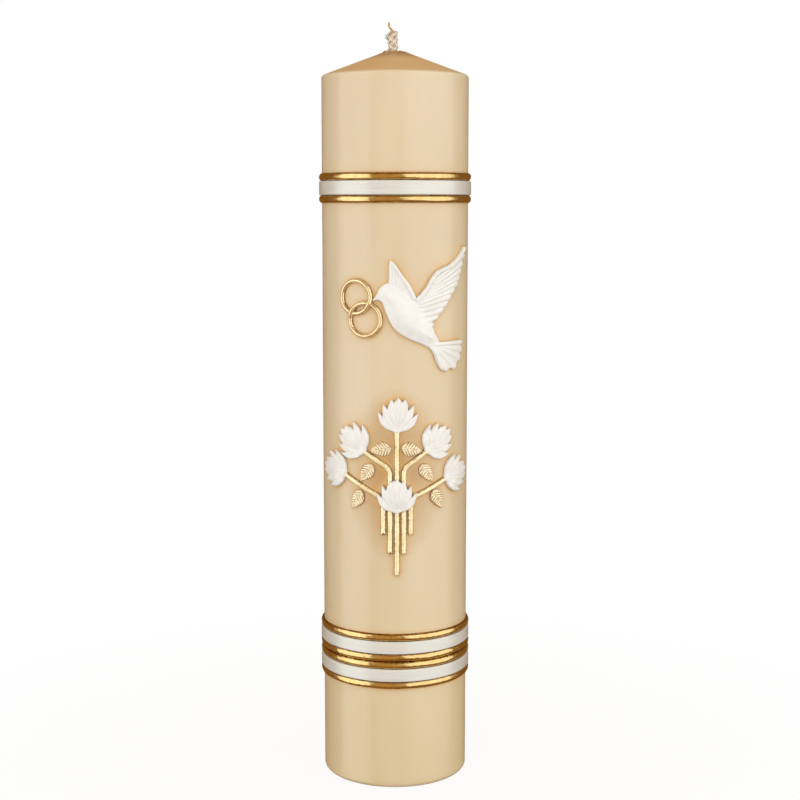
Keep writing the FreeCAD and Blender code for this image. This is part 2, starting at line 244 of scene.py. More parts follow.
def relief(field, height, low, high, step):
    """Closed relief on the wax: its edge is where field is 0, its face stands off by height.

    The face is a grid cut along the edge, the wall drops from the edge into the
    wax, and the back follows the wax inside it.
    """
    count_u = int(math.ceil((high[0] - low[0]) / step)) + 1
    count_z = int(math.ceil((high[1] - low[1]) / step)) + 1
    us = low[0] + step * np.arange(count_u)
    zs = low[1] + step * np.arange(count_z)
    u, z = np.meshgrid(us, zs, indexing="ij")
    f = field(u, z)
    f[[0, -1], :] = -1.0
    f[:, [0, -1]] = -1.0
    inside = f > 0

    grid_id = -np.ones(f.shape, int)
    grid_id[inside] = np.arange(inside.sum())
    face_u = [u[inside]]
    face_z = [z[inside]]
    total = int(inside.sum())

    crossing_ids = []
    along = (np.s_[:-1, :], np.s_[1:, :], 1, 0)
    upward = (np.s_[:, :-1], np.s_[:, 1:], 0, 1)
    for near, far, step_u, step_z in (along, upward):
        here, there = f[near], f[far]
        cut = (here > 0) != (there > 0)
        share = np.clip(here[cut] / (here[cut] - there[cut]), 0.1, 0.9) * step
        face_u.append(u[near][cut] + share * step_u)
        face_z.append(z[near][cut] + share * step_z)
        ids = -np.ones(cut.shape, int)
        ids[cut] = total + np.arange(cut.sum())
        total += int(cut.sum())
        crossing_ids.append(ids)
    along_u, along_z = crossing_ids
    face_u = np.concatenate(face_u)
    face_z = np.concatenate(face_z)

    corners = inside[:-1, :-1].astype(int) + inside[1:, :-1] + inside[1:, 1:] + inside[:-1, 1:]
    i, j = np.nonzero(corners == 4)
    quads = [grid_id[i, j], grid_id[i + 1, j], grid_id[i + 1, j + 1], grid_id[i, j + 1]]
    faces = np.stack(quads, -1).tolist()
    rim = {}
    for i, j in zip(*np.nonzero((corners > 0) & (corners < 4))):
        cell = [(i, j), (i + 1, j), (i + 1, j + 1), (i, j + 1)]
        crossings = [along_u[i, j], along_z[i + 1, j], along_u[i, j + 1], along_z[i, j]]
        loop = []
        for k in range(4):
            if inside[cell[k]]:
                loop.append((grid_id[cell[k]], False))
            if inside[cell[k]] != inside[cell[(k + 1) % 4]]:
                loop.append((crossings[k], True))
        faces.append(tuple(v for v, _ in loop))
        for (a, a_cut), (b, b_cut) in zip(loop, loop[1:] + loop[:1]):
            if a_cut and b_cut and a not in rim:
                rim[a] = b

    top = on_wax(face_u, face_z, height(face_u, face_z))
    rim_ids = list(rim)
    below = {a: total + k for k, a in enumerate(rim_ids)}
    rim_u, rim_z = face_u[rim_ids], face_z[rim_ids]
    for a, b in rim.items():
        faces.append((b, a, below[a], below[b]))

    spacing, clear_of_edge = 1.5, 0.6
    inner = []
    for back_u in np.arange(low[0], high[0], spacing):
        for back_z in np.arange(low[1], high[1], spacing):
            cell = (int(round((back_u - low[0]) / step)), int(round((back_z - low[1]) / step)))
            if cell[0] < count_u and cell[1] < count_z and f[cell] > clear_of_edge:
                inner.append(Vector((back_u, back_z)))
    flat = [Vector((a, b)) for a, b in zip(rim_u, rim_z)] + inner
    edges = [(k, below[rim[a]] - total) for k, a in enumerate(rim_ids)]
    flat_points, _, triangles, origins, _, _ = delaunay_2d_cdt(flat, edges, [], 1, 1e-7)
    if len(flat_points) != len(flat):
        raise RuntimeError("the back of a relief doesn't fit its edge")
    order = [o[0] for o in origins]
    for triangle in triangles:
        faces.append(tuple(total + order[v] for v in reversed(triangle)))
    back = on_wax([p.x for p in flat], [p.y for p in flat], -SUNK)
    return np.vstack([top, back]), faces


# -------- materials
def srgb(red, green, blue):
    """Linear colour of an 8-bit screen colour."""
    shares = np.array([red, green, blue]) / 255
    linear = np.where(shares <= 0.04045, shares / 12.92, ((shares + 0.055) / 1.055) ** 2.4)
    return (*linear, 1.0)


class Nodes:
    """The nodes of a material or a world, with short ways to add to them."""

    def __init__(self, owner):
        owner.use_nodes = True
        self.owner = owner
        self.tree = owner.node_tree

    def fill(self, node, sockets):
        """Links or sets the named inputs of a node."""
        for key, value in sockets.items():
            if isinstance(value, bpy.types.NodeSocket):
                self.tree.links.new(value, node.inputs[key])
            else:
                node.inputs[key].default_value = value

    def add(self, kind, output, sockets, **settings):
        """An output of a new node."""
        node = self.tree.nodes.new("ShaderNode" + kind)
        for key, value in settings.items():
            setattr(node, key, value)
        self.fill(node, sockets)
        return node.outputs[output]

    def place(self):
        return self.add("TexCoord", "Object", {})

    def noise(self, scale, detail=4.0, stretch=(1, 1, 1)):
        """Noise in object space, with scale in features per metre."""
        place = self.add("Mapping", "Vector", {"Vector": self.place(), "Scale": stretch})
        return self.add("TexNoise", "Fac", {"Vector": place, "Scale": scale, "Detail": detail})

    def ramp(self, source, dark, light, high=0.7):
        """dark where the source is under 0.3, and light where it is over high."""
        node = self.tree.nodes.new("ShaderNodeValToRGB")
        for element, place, colour in zip(node.color_ramp.elements, (0.3, high), (dark, light)):
            element.position = place
            element.color = colour
        self.fill(node, {"Fac": source})
        return node.outputs["Color"]

    def span(self, source, low, high, to_low, to_high):
        """to_low where the source is low, through to_high where it is high."""
        return self.add("MapRange", "Result", {
            "Value": source, "From Min": low, "From Max": high, "To Min": to_low, "To Max": to_high,
        })

    def tint(self, colour, share, towards):
        return self.add("Mix", 2, {0: share, 6: colour, 7: towards}, data_type="RGBA")

    def maths(self, operation, first, second):
        return self.add("Math", "Value", {0: first, 1: second}, operation=operation)

    def length(self, vector):
        return self.add("VectorMath", "Value", {0: vector}, operation="LENGTH")

    def recess(self, distance, low, high, most=1.0):
        """Share of painted shade: most in corners and grooves of about distance, down to 0 on open
        surfaces.
        """
        openness = self.add("AmbientOcclusion", "AO", {"Distance": distance}, samples=8)
        return self.span(openness, low, high, most, 0.0)

    def finish(self, colour, roughness, grain, bump, sockets):
        """The material, with bump as (strength, distance) of the grain and sockets as its numbers."""
        strength, distance = bump
        normal = self.add("Bump", "Normal", {"Height": grain, "Strength": strength, "Distance": distance})
        self.fill(self.tree.nodes["Principled BSDF"], {
            "Base Color": colour, "Roughness": roughness, "Normal": normal, **sockets,
        })
        return self.owner


def wax_material():
    look = Nodes(bpy.data.materials.new("ivory_wax"))
    colour = look.ramp(look.noise(30, 3.0, stretch=(1, 1, 0.3)), srgb(201, 189, 164), srgb(207, 197, 174))
    height = look.add("SeparateXYZ", "Z", {"Vector": look.place()})

    def over(low, high, at_low, at_high):
        """Number that changes between two heights in mm."""
        return look.span(height, low * MM, high * MM, at_low, at_high)

    # painted shade: darker and yellower towards the foot, and a warm shade on the upward-facing cone;
    # scorched on the crown
    colour = look.tint(colour, over(0, 190, 0.4, 0.0), srgb(200, 184, 142))
    # painted warm shade on the cone, which faces up away from the lamps
    cone = over(wax_height - 13.2, wax_height - 11.0, 0.0, 0.75)
    colour = look.tint(colour, cone, srgb(210, 172, 120))
    patches = look.span(look.noise(420, 3.0), 0.35, 0.6, 0.45, 1.0)
    scorch = look.maths("MULTIPLY", over(wax_height - 5.0, wax_height - 0.5, 0.0, 1.0), patches)
    colour = look.tint(colour, scorch, srgb(116, 78, 48))
    # darker golden tint round the spray: an ellipsoid on the front of the wax
    middle = (0, -wax_radius * MM, (stem_low[1] + 52) * MM)
    half_sizes = (0.021, 0.05, 0.036)
    away = look.length(look.add("Mapping", "Vector", {
        "Vector": look.place(), "Location": middle, "Scale": half_sizes,
    }, vector_type="TEXTURE"))
    colour = look.tint(colour, look.span(away, 0.3, 1.25, 0.9, 0.0), srgb(168, 130, 82))
    # painted shade: a halo round the ornaments, darker at their edges and in the gaps between them
    for recess, brown in (
        ((0.024, 0.75, 1.0, 0.9), srgb(208, 174, 122)),
        ((0.005, 0.3, 0.8, 0.4), srgb(192, 152, 98)),
        ((0.003, 0.12, 0.42, 1.0), srgb(104, 60, 20)),
    ):
        # each tint is painted shade where the ambient occlusion finds a recess
        colour = look.tint(colour, look.recess(*recess), brown)
    sheen = look.span(look.noise(160), 0.3, 0.7, 0.19, 0.265)
    roughness = look.maths("ADD", sheen, look.maths("MULTIPLY", cone, 0.36))
    return look.finish(colour, roughness, look.noise(110), (0.05, 0.0003), {
        "Subsurface Weight": 0.25, "Subsurface Radius": (1.0, 0.55, 0.25),
        "Subsurface Scale": 0.004, "IOR": 1.6,
    })


def gold_material(name, light, dark, metallic, polish, groove, ripple, outline_and_shade):
    """Gilded wax, with painted shade in its recesses, and a brown dark outline with painted shade close to
    the candle's wall.

    polish is the range of roughness, groove that of the painted shade in the recesses, and ripple the depth
    of the bump. The brown of the outline and its painted shade gives way to gold between the
    outline_and_shade heights, in mm.
    """
    look = Nodes(bpy.data.materials.new(name))
    colour = look.ramp(look.noise(260), dark, light)
    # painted shade: brown in the grooves and recesses, from ambient occlusion
    colour = look.tint(colour, look.recess(0.0011, *groove), srgb(140, 84, 26))
    # brown dark outline, partly painted shade, close to the candle's wall, by distance from the axis
    level = look.add("VectorMath", "Vector", {0: look.place(), 1: (1, 1, 0)}, operation="MULTIPLY")
    uneven = look.span(look.noise(900, 3.0), 0.25, 0.75, -0.5 * MM, 0.5 * MM)
    radius = look.maths("ADD", look.length(level), uneven)
    low, high = [(wax_radius + height) * MM for height in outline_and_shade]
    colour = look.tint(colour, look.span(radius, low, high, 0.9, 0.0), srgb(132, 74, 12))
    roughness = look.span(look.noise(700), 0.3, 0.7, *polish)
    return look.finish(colour, roughness, look.noise(420, 3.0), (0.1, ripple), {
        "Metallic": metallic, "Coat Weight": 1.1 - 0.8 * metallic,
        "Coat IOR": 1.8, "Coat Roughness": polish[0],
    })


def pearl_material(name, light, dark, fine_lines):
    look = Nodes(bpy.data.materials.new(name))
    grain = look.noise(60, 5.0, stretch=(1, 1, 14)) if fine_lines else look.noise(240)
    colour = look.ramp(grain, dark, light)
    # painted shade in corners and grooves, from ambient occlusion
    colour = look.tint(colour, look.recess(0.0016, 0.25, 0.9, 0.7), srgb(208, 200, 186))
    return look.finish(colour, look.span(grain, 0.3, 0.7, 0.32, 0.42), grain, (0.2, 0.0002), {
        "Subsurface Weight": 0.12, "Subsurface Radius": (1.0, 0.8, 0.6), "Subsurface Scale": 0.001,
        "IOR": 2.2 if fine_lines else 1.5, "Coat Weight": 1.0 if fine_lines else 0.5,
        "Coat IOR": 1.8, "Coat Roughness": 0.25,
    })


def cotton_material(name, light, dark):
    look = Nodes(bpy.data.materials.new(name))
    fibre = look.noise(1500, 5.0, stretch=(1, 1, 0.35))
    colour = look.ramp(fibre, dark, light, high=0.65)
    # painted shade between the yarns, from ambient occlusion
    colour = look.tint(colour, look.recess(0.0012, 0.0, 0.6), srgb(120, 86, 60))
    roughness = look.span(fibre, 0.3, 0.7, 0.7, 0.9)
    return look.finish(colour, roughness, fibre, (0.5, 0.0002), {"Sheen Weight": 0.3})


WAX = wax_material()
GOLD = gold_material(
    "gold_wax", srgb(255, 229, 162), srgb(246, 212, 138), 1.0,
    polish=(0.18, 0.265), groove=(0.15, 0.7), ripple=0.0001, outline_and_shade=(0.5, 1.0))
RING_GOLD = gold_material(
    "gold_ring", srgb(255, 241, 200), srgb(250, 226, 172), 0.78,
    polish=(0.16, 0.26), groove=(0.3, 0.8), ripple=0.00006, outline_and_shade=(0.5, 1.0))
STEM_GOLD = gold_material(
    "gold_stem", srgb(255, 251, 216), srgb(240, 226, 172), 0.35,
    polish=(0.29, 0.4), groove=(0.3, 0.85), ripple=0.0001, outline_and_shade=(0.85, 1.45))
LEAF_GOLD = gold_material(
    "gold_leaf", srgb(255, 253, 230), srgb(252, 240, 200), 0.3,
    polish=(0.29, 0.4), groove=(0.25, 0.7), ripple=0.0001, outline_and_shade=(0.6, 1.4))
BAND = pearl_material("pearl_band", srgb(208, 214, 215), srgb(200, 205, 205), fine_lines=True)
PEARL = pearl_material("pearl_white_wax", srgb(223, 229, 234), srgb(216, 222, 227), fine_lines=False)
COTTON = cotton_material("cotton_wick", srgb(226, 220, 213), srgb(188, 177, 168))
BURNT = cotton_material("cotton_brown", srgb(196, 164, 118), srgb(154, 124, 82))
FRAYED = cotton_material("cotton_grey", srgb(186, 190, 178), srgb(146, 150, 134))


# -------- pillar and wick
def build_pillar():
    """Turned wax pillar: rounded foot, wall, rounded shoulder, cone and rough crown."""
    foot_round, shoulder_round, cone_rise, crown = 2.5, 1.6, 12.6, 5.0
    shoulder = wax_height - cone_rise
    slope = math.atan2(cone_rise, wax_radius - crown)
    setback = shoulder_round * math.tan((math.pi / 2 - slope) / 2)
    profile = [(0.0, 0.0), (12.0, 0.0), (24.0, 0.0), (32.0, 0.0)]
    for turn in np.linspace(-math.pi / 2, 0, 8):
        profile.append((wax_radius - foot_round * (1 - math.cos(turn)), foot_round * (1 + math.sin(turn))))
    for height in np.linspace(foot_round, shoulder - setback, 130)[1:-1]:
        profile.append((wax_radius, height))
    for turn in np.linspace(0, math.pi / 2 - slope, 7):
        profile.append((
            wax_radius - shoulder_round * (1 - math.cos(turn)),
            shoulder - setback + shoulder_round * math.sin(turn),
        ))
    profile += np.linspace(profile[-1], (crown + 0.4, wax_height - 0.25), 22)[1:].tolist()
    # over the crown and down into the hole round the wick
    hole_depth = 3.2
    profile += [(radius, wax_height - depth) for radius, depth in (
        (crown - 0.1, 0.02), (4.4, 0), (3.7, 0.05), (3.1, 0.25), (2.75, 0.9), (2.6, 3.0), (0.0, hole_depth),
    )]
    profile = np.array(profile)

    segments = 256
    turns = np.linspace(0, 2 * math.pi, segments, endpoint=False)
    radius, height = profile[1:-1, 0], profile[1:-1, 1]
    wall = waves(3, 6, 160, 18)
    round_about = ring_waves(5, 2, 9, 5)
    top_ripple = ring_waves(8, 3, 17, 8)
    top_waves = waves(9, 4, 14, 3)
    r, t = np.meshgrid(radius, turns, indexing="ij")
    h = np.broadcast_to(height[:, None], r.shape).copy()
    on_wall = smooth((r - 30) / 8)
    near_crown = smooth((9 - r) / 4) * (h > wax_height / 2)
    upper = (h > shoulder) & (r < wax_radius - 1)
    r = r + 0.05 * on_wall * (wall(h + 11 * np.sin(t)) + round_about(t))
    h = h + np.where(upper, 0.07 * top_ripple(t) * (1 + 4 * near_crown) + 0.05 * top_waves(r), 0)
    r = r + 0.22 * near_crown * top_ripple(t + 1.0) * smooth((r - 3.2) / 1.2)
    # a small lump of wax on the crown's left edge
    x, y = r * np.sin(t), -r * np.cos(t)
    lump = np.exp(-((x + 5.0) ** 2 + (y + 0.6) ** 2) / 0.55)
    h = h + np.where(h > wax_height - 2, 0.95 * lump, 0)
    # the hole follows the wick, which is a little off centre
    x = x + wick_centre * smooth((5.6 - r) / 2.6) * (h > wax_height / 2)
    rings = np.stack([x, y, h], -1).reshape(-1, 3)
    points = np.vstack([rings, (0, 0, 0), (wick_centre, 0, wax_height - hole_depth)]) * MM
    make_piece("wax_pillar", points, capped_faces(len(radius), segments), WAX, "ivory_wax", "wax_body")


def build_wick():
    """Braided cotton: three strands each way round a core, a loose strand and frayed ends."""
    body_top = wax_height + 9.7
    base = wax_height - 2.9  # just above the bottom of the hole in the crown
    points, faces = [], []

    def add(path, radii, sides=7):
        made, made_faces = tube(path, radii, sides, start=sum(len(p) for p in points))
        points.append(made)
        faces.extend(made_faces)

    def make(name, material):
        make_piece(name, np.vstack(points), faces, material, "cotton_wick", "wick")
        points.clear()
        faces.clear()

    rng = np.random.default_rng(21)
    pitch = 11.5
    for hand in (1, -1):
        for strand in range(3):
            end = body_top + rng.uniform(-0.9, 0.6)
            heights = np.linspace(base, end, 46)
            turn = 2 * math.pi * (hand * (heights - base) / pitch + strand / 3) + (0.5 if hand > 0 else 0)
            weave = 0.32 * np.cos(3 * (turn - 0.25) * hand + (0 if hand > 0 else math.pi))
            spread = 1.78 + weave + 0.25 * smooth((heights - end + 2.2) / 2.2)
            for yarn in range(3):
                twist = 2 * math.pi * (heights / 3.4 + yarn / 3)
                radial = spread + 0.42 * np.cos(twist)
                shift = 0.42 * np.sin(twist)
                x = wick_centre + radial * np.sin(turn) + shift * np.cos(turn)
                y = -radial * np.cos(turn) + shift * np.sin(turn)
                width = 0.46 * (1 - 0.6 * smooth((heights - end + 0.9) / 0.9))
                add(np.stack([x, y, heights + 0.25 * yarn * smooth(heights - end + 1)], -1), width)
    add([(wick_centre, 0, height) for height in np.linspace(base, body_top - 1.0, 12)], 1.5, sides=12)
    make("wick_braid", COTTON)

    tip = wick_high[2] - 0.5
    for yarn in range(3):
        line = curve_through([
            (wick_centre + 1.0, -1.6, body_top - 2.6), (wick_centre + 0.8, -1.8, body_top - 1.2),
            (wick_centre + 0.1, -1.7, body_top + 0.3), (wick_centre - 1.2, -1.2, body_top + 1.7),
            (wick_centre - 2.0, -0.9, body_top + 3.1), (wick_centre - 1.9, -0.8, tip),
        ], 7)
        run = np.linspace(0, 1, len(line))
        twist = 2 * math.pi * (2.2 * run + yarn / 3)
        line = line + 0.3 * np.stack([np.cos(twist), np.sin(twist), 0 * twist], -1)
        add(line, 0.42 * (1 - 0.35 * run**3))
    make("wick_loose_strand", BURNT)

    top_centre = np.array([wick_centre, 0, wax_height])

    def add_wisp(start, end, stray, steps, width):
        middle = (start + end) / 2 + rng.uniform(-stray, stray, 3)
        line = curve_through([start, middle, end], steps)
        add(line, width * (1 - 0.7 * np.linspace(0, 1, len(line))), sides=5)

    for _ in range(9):
        start = top_centre + (-2.3, rng.uniform(-1.6, 0.4), rng.uniform(5.2, 7.0))
        end = top_centre + (-rng.uniform(3.6, 4.6), rng.uniform(-2.2, 0.6), rng.uniform(6.8, 8.9))
        add_wisp(start, end, 0.35, 5, 0.16)
    for _ in range(10):
        angle = rng.uniform(-1.6, 1.6)
        outward = np.array([math.sin(angle), -math.cos(angle), 0])
        start = top_centre + 2.2 * outward + (0, 0, rng.uniform(4, 9.2))
        end = start + outward * rng.uniform(0.5, 1.2) + (0, 0, rng.uniform(0.4, 1.5))
        add_wisp(start, end, 0.2, 4, 0.1)
    make("wick_frayed_ends", FRAYED)


# -------- trim
def ring_round_pillar(name, node, profile, ripple_out, ripple_up, segments, material, slot):
    """Closed section swept round the pillar, with a butt joint at the back."""
    turns = np.linspace(0, 2 * math.pi, segments, endpoint=False)
    out, up = np.array(profile).T
    o, t = np.meshgrid(out, turns, indexing="ij")
    h = np.broadcast_to(up[:, None], o.shape)
    proud = np.clip(o, 0, None) / max(out)
    joint_width, joint_depth = 0.35, 0.55
    joint = np.exp(-(((t - math.pi) * wax_radius / joint_width) ** 2))
    o = o + proud * ripple_out(t, h) - joint_depth * proud * joint * max(out)
    h = h + proud * ripple_up(t)
    points = on_wax(t * wax_radius, h, o).reshape(-1, 3)
    faces = grid_faces(len(out), segments, close_rows=True, close_columns=True)
    make_piece(name, points, faces, material, slot, node)


def build_trim():
    for number, node in enumerate((
        "upper_bead_top", "upper_bead_bottom", "lower_bead_top", "lower_bead_mid_top",
        "lower_bead_mid_bottom", "lower_bead_bottom",
    )):
        low, high = size_box(node)
        stand_off = high[0] - wax_radius
        middle, half = (low[2] + high[2]) / 2, (high[2] - low[2]) / 2
        turns = np.linspace(0, math.pi, 13)
        profile = [(-SUNK, middle + half * 0.92)]
        profile += [(stand_off * math.sin(a), middle + half * math.cos(a)) for a in turns]
        profile += [(-SUNK, middle - half * 0.92)]
        slow = ring_waves(30 + number, 3, 14, 5)
        quick = ring_waves(50 + number, 8, 34, 8)
        dents = ring_waves(60 + number, 30, 90, 9)
        dented = 0.03 if number < 2 else 0.06
        rise = ring_waves(70 + number, 2, 12, 5)
        ring_round_pillar(
            node.replace("bead", "gold_bead"), node, profile,
            lambda t, h: 0.1 * slow(t) + 0.13 * quick(t + 0.02 * h) + dented * dents(t + 0.03 * h),
            lambda t: 0.28 * rise(t) + dented * dents(t + 1.0),
            720, GOLD, "gold_wax",
        )
    for number, node in enumerate(("upper_band", "lower_band_top", "lower_band_bottom")):
        low, high = size_box(node)
        stand_off = high[0] - wax_radius
        edge = 0.7
        upper_edge = [
            (stand_off - edge * (1 - math.sin(a)), high[2] - edge * (1 - math.cos(a)))
            for a in np.linspace(0, math.pi / 2, 6)
        ]
        lower_edge = [(out, low[2] + high[2] - height) for out, height in reversed(upper_edge)]
        lines = waves(90 + number, 7, 2.4, 0.5)
        heights = np.linspace(high[2] - edge, low[2] + edge, 30)[1:-1]
        face = [(stand_off + 0.03 * float(lines(height)), height) for height in heights]
        profile = [(-SUNK, high[2] - 0.1), *upper_edge, *face, *lower_edge, (-SUNK, low[2] + 0.1)]
        slow = ring_waves(80 + number, 2, 9, 4)
        ring_round_pillar(
            node.replace("band", "pearl_band"), node, profile,
            lambda t, h: 0.04 * slow(t), lambda t: 0 * t, 360, BAND, "pearl_band",
        )


# -------- stems
def bent_path(points, radius, step):
    """Points along straight runs with an arc of the given radius between them."""
    points = [np.array(p, float) for p in points]
    if len(points) == 2:
        marks = points
    else:
        into = (points[1] - points[0]) / np.linalg.norm(points[1] - points[0])
        away = (points[2] - points[1]) / np.linalg.norm(points[2] - points[1])
        turn = math.acos(np.clip(into @ away, -1, 1))
        setback = radius * math.tan(turn / 2)
        inward = (away - into) / np.linalg.norm(away - into)
        centre = points[1] + inward * radius / math.cos(turn / 2)
        first = points[1] - into * setback
        spin = math.copysign(1, into[0] * away[1] - into[1] * away[0])
        arm = first - centre
        side = np.array([-arm[1], arm[0]])
        arc = [centre + arm * math.cos(a) + side * math.sin(a) for a in spin * turn * np.linspace(0, 1, 12)]
        marks = [points[0], *arc, points[2]]
    marks = np.array(marks)
    runs = np.concatenate([[0], np.cumsum(np.linalg.norm(np.diff(marks, axis=0), axis=1))])
    places = np.linspace(0, runs[-1], max(int(runs[-1] / step), 2))
    return np.stack([np.interp(places, runs, marks[:, k]) for k in (0, 1)], -1), runs[-1]


def strip(node, path, width, stand_off, seed, notch):
    """Half-round gold strip pressed on the wax along a path; notch is how deep its foot is cut in."""
    bend_radius, step = 6.0, 0.45
    line, length = bent_path(path, bend_radius, step)
    tangents = np.gradient(line, axis=0)
    tangents /= np.linalg.norm(tangents, axis=1)[:, None]
    run = np.linspace(0, length, len(line))
    across = np.array([1.0, 0.99, 0.95, 0.86, 0.7, 0.5, 0.3, 0.15, 0.06, 0.0])
    across = np.concatenate([across, -across[-2::-1]])
    rise = 1 - 0.3 * (np.sqrt(across**2 + 0.012) - 0.11) - 0.5 * np.abs(across) ** 6
    rise[[0, -1]] = 0.12
    wobble = waves(seed, 5, 30, 4)
    lift = waves(seed + 1, 6, 14, 1.6)
    grain = waves(seed + 2, 5, 5, 0.9)
    ends = quarter_round(np.minimum(run, length - run) + 0.12, 0.55)
    rows = []
    for point, tangent, at, share in zip(line, tangents, run, ends):
        normal = np.array([-tangent[1], tangent[0]])
        half = width / 2 * (1.03 + 0.04 * float(wobble(at)))
        s = across * half
        out = stand_off * rise * (0.35 + 0.65 * share) * (1 + 0.04 * float(lift(at)))
        out = out + 0.012 * grain(at + 3 * across) * rise
        place = point + normal * s[:, None]
        cut_back = notch * np.exp(-((s + 0.15) / 0.55) ** 2) * math.exp(-at / 0.9)
        place = place + tangent * cut_back[:, None]
        rows.append(np.vstack([
            np.column_stack([place, out]),
            [*(point - normal * half * 0.97), -SUNK],
            [*(point + normal * half * 0.97), -SUNK],
        ]))
    rows = np.array(rows)
    columns = rows.shape[1]
    middles = [(*line[0], stand_off * 0.3), (*line[-1], stand_off * 0.3)]
    flat = np.vstack([rows.reshape(-1, 3), middles])
    faces = [face[::-1] for face in capped_faces(len(line), columns)]
    make_piece(node, on_wax(*flat.T), faces, STEM_GOLD, "gold_wax", node)


# Foot of each flower from the foot of the centre stem, in mm, and its lean to the left.
FLOWERS = {
    "flower_top": ((-0.1, 74.2), -3.0),
    "flower_upper_left": ((-16.6, 63.5), 50.0),
    "flower_upper_right": ((15.0, 63.6), -52.0),
    "flower_far_left": ((-27.6, 51.3), 76.0),
    "flower_far_right": ((26.3, 48.9), -76.0),
    "flower_bottom": ((-0.1, 32.9), 0.0),
}
# Column, lift of the foot, flower, slope of the bent run (None if straight) and notch.
STEMS = {
    "stem_outer_left": (-2, 21.2, "flower_far_left", 0.53, 1.5),
    "stem_inner_left": (-1, 11.3, "flower_upper_left", 0.63, 1.5),
    "stem_centre": (0, 0.0, "flower_top", None, 0.15),
    "stem_inner_right": (1, 11.3, "flower_upper_right", 0.69, 0.2),
    "stem_outer_right": (2, 21.2, "flower_far_right", 0.45, 0.1),
}
# Foot of each leaf from the foot of the centre stem, and its lean to the left.
LEAVES = {
    "leaf_top_left": ((-3.0, 66.2), 99.0),
    "leaf_top_right": ((2.2, 66.2), -100.0),
    "leaf_middle_left": ((-12.4, 57.4), 144.0),
    "leaf_middle_right": ((12.6, 57.4), -147.0),
    "leaf_lower_left": ((-18.2, 43.4), 149.0),
    "leaf_lower_right": ((19.2, 43.8), -152.0),
}


def build_stems():
    gap, stand_off, under_flower = 0.75, 1.8, 1.2
    pitch = stem_width + gap
    for number, (node, (column, lift, flower, climb, notch)) in enumerate(STEMS.items()):
        offset, lean = FLOWERS[flower]
        angle = math.radians(lean)
        end = spray_foot + offset + under_flower * np.array([-math.sin(angle), math.cos(angle)])
        foot = spray_foot + (column * pitch, lift)
        if climb is None:
            path = [foot, (foot[0], end[1])]
        else:
            path = [foot, (foot[0], end[1] - abs(end[0] - foot[0]) * climb), end]
        strip(node, path, stem_width, stand_off, 100 + 7 * number, notch)


# -------- flowers and leaves
def leaning(u, z, base, lean):
    """Places in a leaning piece's own axes: across to the right, and along it."""
    angle = math.radians(lean)
    du, dz = u - base[0], z - base[1]
    return du * math.cos(angle) + dz * math.sin(angle), -du * math.sin(angle) + dz * math.cos(angle)


# Petals of a lily: middle control point, tip, half width, tapered share and crest.
# All but the last stand in pairs, the left one first.
PETALS = [
    ((side * control, low), (side * tip, high), half, taper, crest)
    for control, low, tip, high, half, taper, crest in (
        (7.0, 3.6, 9.9, 10.2, 2.1, 0.42, 0.0),
        (5.0, 6.4, 7.5, 14.4, 2.2, 0.36, 0.15),
        (2.4, 8.0, 3.3, 17.0, 2.2, 0.22, 0.3),
    ) for side in (-1, 1)
] + [((0.0, 8.0), (0.0, 17.9), 2.2, 0.2, 0.45)]
# The middle of a lily, where its petals have grown together.
FAN = [
    (0.0, 0.4), (-4.6, 3.8), (-6.6, 9.2), (-4.3, 13.6), (-1.7, 16.4),
    (1.7, 16.4), (4.3, 13.6), (6.6, 9.2), (4.6, 3.8),
]


def build_flower(node, offset, lean, thickness, seed):
    base = spray_foot + offset
    rng = np.random.default_rng(seed)
    petals = []
    for control, tip, half, taper, crest in PETALS:
        tip = np.array(tip) * (1 + 0.02 * rng.uniform(-1, 1)) + rng.uniform(-0.25, 0.25, 2)
        t = np.linspace(0, 1, 18)[:, None]
        line = (1 - t) ** 2 * np.array([0, 0.6]) + 2 * t * (1 - t) * np.array(control) + t**2 * tip
        petals.append((line, half * rng.uniform(0.94, 1.06), taper, crest))
    middle = np.array(FAN) * rng.uniform(0.97, 1.03, (len(FAN), 2))
    grain = waves(seed, 5, 6, 1.1)

    def blades(u, z):
        across, along = leaning(u, z, base, lean)
        edge = np.full(u.shape, -9.0)
        top = np.full(u.shape, -9.0)
        first = np.full(u.shape, 99.0)
        second = np.full(u.shape, 99.0)
        fan = inside_distance(across, along, middle)
        for line, half, taper, crest in petals:
            distance, share = nearest_on_line(across, along, line)
            width = half * (0.45 + 0.55 * smooth(share / 0.4))
            width = width * np.clip((1.001 - share) / taper, 0, 1) ** 0.85
            inside = width - distance
            lift = thickness * (0.66 + 0.34 * smooth(share / 0.45) - 0.1 * smooth((share - 0.7) / 0.3))
            bulge = np.sqrt(np.clip(1 - (distance / np.maximum(width, 0.05)) ** 2, 0, 1))
            body = lift - 0.6 + crest + 0.38 * bulge
            body = body - 0.08 * np.exp(-((distance / 0.2) ** 2)) * smooth((share - 0.2) / 0.2)
            body = body + 0.05 * np.cos(2 * math.pi * distance / 0.75) * bulge
            top = np.maximum(top, np.where(np.maximum(inside, fan) > -0.02, body, -9))
            edge = np.maximum(edge, inside)
            reach = np.where(inside > -0.3, distance, 99.0)
            second = np.where(reach < first, first, np.minimum(second, reach))
            first = np.minimum(first, reach)
        groove = np.exp(-(((second - first) / 0.4) ** 2)) * smooth((along - 2.0) / 3.0)
        top = top - 0.24 * groove
        cup = 2.3 - np.hypot(across * 0.8, along - 1.8)
        edge = np.maximum(edge, np.maximum(cup, fan))
        top = np.maximum(top, np.where(cup > -0.02, thickness * 0.55 + 0.6 * quarter_round(cup, 1.8), -9))
        return edge, top

    def height(u, z):
        edge, top = blades(u, z)
        rounded = quarter_round(edge + 0.06, 0.7)
        return top * (0.35 + 0.65 * rounded) + 0.03 * grain(u + 0.7 * z)

    reach, step = 20, 0.16
    points, faces = relief(lambda u, z: blades(u, z)[0], height, base - reach, base + reach, step)
    make_piece(node.replace("flower", "lily"), points, faces, PEARL, "pearl_white_wax", node)


